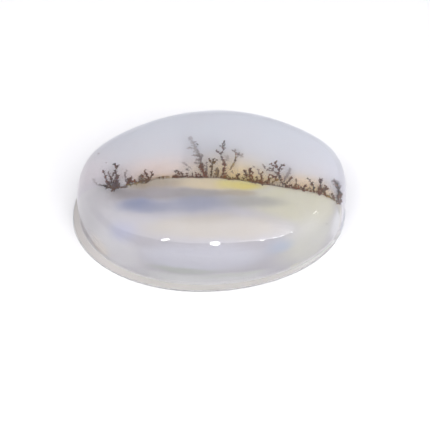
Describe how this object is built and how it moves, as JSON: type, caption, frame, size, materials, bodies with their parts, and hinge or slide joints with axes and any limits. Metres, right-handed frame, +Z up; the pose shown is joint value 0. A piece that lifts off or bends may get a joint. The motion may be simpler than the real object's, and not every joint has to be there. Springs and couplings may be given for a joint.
{
  "type": "dendritic agate cabochon",
  "caption": "Oval polished agate cabochon, flat below and gently domed above, with brown tree-like dendrites standing on a pale ground inside milky stone.",
  "frame": {"origin": "middle of the flat base, under the centre of the outline's bounding box", "axes": "+X along the length, +Y across the width towards the side that the trees lean to, +Z up out of the dome"},
  "size_m": [0.028, 0.02, 0.007],
  "materials": {
    "agate": "milky translucent chalcedony, polished to a wet gloss, with the flat back left satin",
    "pale_ground": "paler, denser band of chalcedony inside the stone, cream at its upper edge",
    "dendrites": "dull brown iron and manganese oxide growths enclosed in the stone"
  },
  "bodies": {
    "root": {"agate_stone": "agate"}
  },
  "joints": []
}
